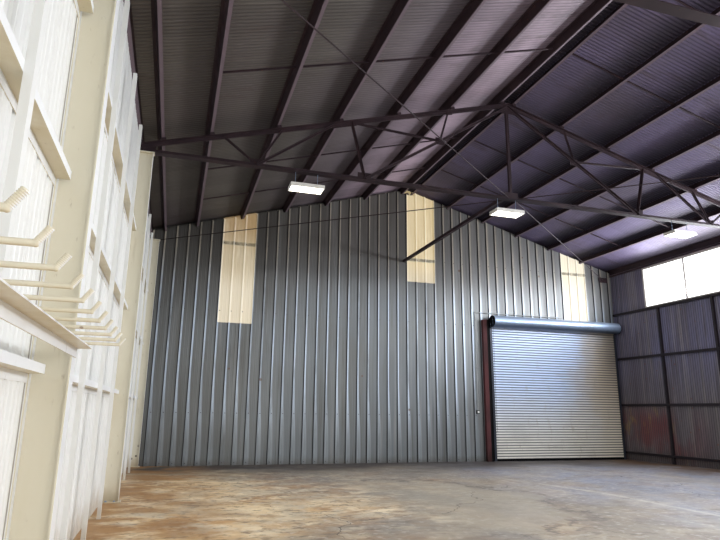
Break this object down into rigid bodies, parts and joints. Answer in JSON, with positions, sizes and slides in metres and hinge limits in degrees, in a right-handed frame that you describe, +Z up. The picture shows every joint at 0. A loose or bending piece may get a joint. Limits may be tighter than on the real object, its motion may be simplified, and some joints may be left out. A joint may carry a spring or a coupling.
{
  "type": "factory building",
  "caption": "Single-span steel-framed factory shed with a gabled roof on trusses, ribbed sheet walls, a strip window, translucent wall strips and a roller door in each end.",
  "frame": {"origin": "middle of the footprint, at the underside of the floor slab", "axes": "+Y along the hall to the end wall with the roller door that the picture shows, +X across it to the right-hand wall with the strip window, +Z up"},
  "size_m": [15.14, 24.04, 8.4064],
  "materials": {
    "concrete": "stained floor slab, worn smooth",
    "cream_steel": "cream gloss paint over steel sections, scuffed",
    "white_sheet": "white painted ribbed sheet",
    "brown_steel": "dark red-brown primer, dusty",
    "red_oxide": "dark red oxide primer",
    "roof_sheet": "dull corrugated sheet, dark with age",
    "side_sheet": "dull brown corrugated sheet",
    "blue_grey_sheet": "blue-grey painted ribbed sheet, satin",
    "translucent_sheet": "pale yellow translucent ribbed sheet",
    "galvanised": "galvanised steel, satin",
    "door_slats": "pale grey slats, satin",
    "black_steel": "black paint",
    "window_paint": "grey painted window bars",
    "window_glass": "obscured glass",
    "fitting_white": "white powder coat",
    "light_diffuser": "lit diffuser",
    "control_grey": "grey plastic box and pipe"
  },
  "bodies": {
    "root": {"floor_slab": "concrete", "left_columns": "cream_steel", "right_columns": "brown_steel", "roof_truss_far": "brown_steel", "roof_truss_middle": "brown_steel", "roof_truss_near": "brown_steel", "left_purlins": "brown_steel", "right_purlins": "brown_steel", "eave_struts": "brown_steel", "purlin_bridging": "brown_steel", "left_roof_sheets": "roof_sheet", "right_roof_sheets": "roof_sheet", "ridge_cap": "galvanised", "bracing_rods": "brown_steel", "end_bay_struts": "brown_steel", "left_wall_sheets": "white_sheet", "left_wall_girts": "cream_steel", "left_wall_studs": "white_sheet", "right_wall_sheets": "side_sheet", "right_wall_frame": "brown_steel", "right_window_frame": "window_paint", "right_window_glass": "window_glass", "far_wall_frame": "brown_steel", "near_wall_frame": "brown_steel", "far_wall_lining": "blue_grey_sheet", "near_wall_lining": "blue_grey_sheet", "far_wall_cladding": "blue_grey_sheet", "near_wall_cladding": "blue_grey_sheet", "lining_light_strips": "translucent_sheet", "cladding_light_strips": "translucent_sheet", "door_curtains": "door_slats", "door_bottom_bars": "black_steel", "door_hoods": "galvanised", "door_end_plates": "black_steel", "door_guides": "galvanised", "door_jambs": "red_oxide", "door_chains": "galvanised", "door_control": "control_grey", "storage_rail": "cream_steel", "storage_pegs": "cream_steel", "light_housings": "fitting_white", "light_panels": "light_diffuser", "light_hangers": "galvanised", "rake_trims": "galvanised", "corner_trims": "blue_grey_sheet"}
  },
  "joints": []
}
